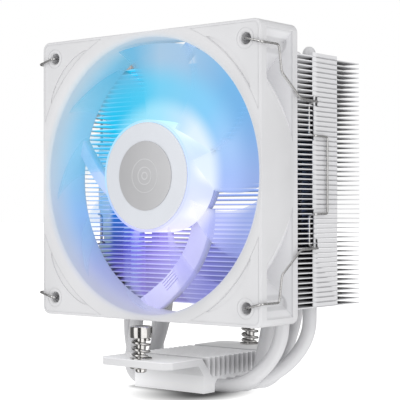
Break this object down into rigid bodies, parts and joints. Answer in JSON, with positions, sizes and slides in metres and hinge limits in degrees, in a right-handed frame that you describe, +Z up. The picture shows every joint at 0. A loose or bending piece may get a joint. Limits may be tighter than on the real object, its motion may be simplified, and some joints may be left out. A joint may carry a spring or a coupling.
{
  "type": "cpu tower cooler",
  "caption": "Tower processor cooler: square fan with a lit translucent rotor, clipped to white fins on U-shaped heat pipes, with a ribbed contact base and sprung mounting screws.",
  "frame": {"origin": "centre of the flat contact face under the base, which touches the processor lid", "axes": "+Z up from the contact face along the tower; the fan intake faces -Y and air leaves towards +Y; +X to the right when looking at the fan"},
  "size_m": [0.1232, 0.086, 0.1503],
  "materials": {
    "fan_plastic": "white moulded plastic, satin",
    "frosted_plastic": "milky translucent moulding, lit from the hub",
    "hub_cap": "smooth white moulding",
    "badge": "flat grey label, plain rings",
    "white_coating": "white powder coat over aluminium, fine satin",
    "pipe_coating": "white coat over hollow tube, fine satin",
    "bare_steel": "bright nickel-plated steel",
    "spring_wire": "drawn spring wire",
    "motor_steel": "dull laminated steel",
    "magnet": "bonded ferrite, dark",
    "bearing_brass": "sintered, dull",
    "winding": "enamelled copper wire",
    "circuit_board": "white solder mask"
  },
  "bodies": {
    "cooler": {"fan_frame": "fan_plastic", "bearing_sleeve": "bearing_brass", "stator_core": "motor_steel", "light_board": "circuit_board", "base_block": "white_coating", "stator_coil_1": "winding", "heat_pipe_1": "pipe_coating", "stator_coil_2": "winding", "heat_pipe_2": "pipe_coating", "stator_coil_3": "winding", "heat_pipe_3": "pipe_coating", "stator_coil_4": "winding", "heat_pipe_4": "pipe_coating", "fin_block_01": "white_coating", "fin_block_02": "white_coating", "fin_block_03": "white_coating", "fin_block_04": "white_coating", "fin_block_05": "white_coating", "fin_block_06": "white_coating", "fin_block_07": "white_coating", "fin_block_08": "white_coating", "fin_block_09": "white_coating", "fin_block_10": "white_coating", "fin_block_11": "white_coating", "fin_block_12": "white_coating", "fin_block_13": "white_coating", "front_spring": "spring_wire", "front_washer": "bare_steel", "rear_spring": "spring_wire", "rear_washer": "bare_steel"},
    "rotor": {"impeller": "frosted_plastic", "hub_cap": "hub_cap", "hub_badge": "badge", "flux_ring": "motor_steel", "magnet_ring": "magnet", "rotor_shaft": "bare_steel"},
    "right_clip": {"right_clip": "spring_wire"},
    "left_clip": {"left_clip": "spring_wire"},
    "front_screw_slide": {"front_retaining_ring": "bare_steel"},
    "front_screw": {"front_screw": "bare_steel"},
    "rear_screw_slide": {"rear_retaining_ring": "bare_steel"},
    "rear_screw": {"rear_screw": "bare_steel"}
  },
  "joints": [
    {"name": "rotor_spin", "type": "hinge", "parent": "cooler", "child": "rotor", "pos_m": [0, -0.025, 0.0903], "axis": [0, 1, 0], "continuous": true},
    {"name": "right_clip_swing", "type": "hinge", "parent": "cooler", "child": "right_clip", "pos_m": [0.0525, -0.0365, 0.0903], "axis": [0, 0, -1], "range_deg": [0, 30]},
    {"name": "left_clip_swing", "type": "hinge", "parent": "cooler", "child": "left_clip", "pos_m": [-0.0525, -0.0365, 0.0903], "axis": [0, 0, 1], "range_deg": [0, 30]},
    {"name": "front_screw_press", "type": "slide", "parent": "cooler", "child": "front_screw_slide", "axis": [0, 0, -1], "range_m": [0, 0.004], "stiffness_N_per_m": 4000, "springref_m": -0.004, "deforming": ["front_spring"]},
    {"name": "front_screw_turn", "type": "hinge", "parent": "front_screw_slide", "child": "front_screw", "pos_m": [0, -0.0375, 0.02], "axis": [0, 0, -1], "continuous": true},
    {"name": "rear_screw_press", "type": "slide", "parent": "cooler", "child": "rear_screw_slide", "axis": [0, 0, -1], "range_m": [0, 0.004], "stiffness_N_per_m": 4000, "springref_m": -0.004, "deforming": ["rear_spring"]},
    {"name": "rear_screw_turn", "type": "hinge", "parent": "rear_screw_slide", "child": "rear_screw", "pos_m": [0, 0.0375, 0.02], "axis": [0, 0, -1], "continuous": true}
  ]
}
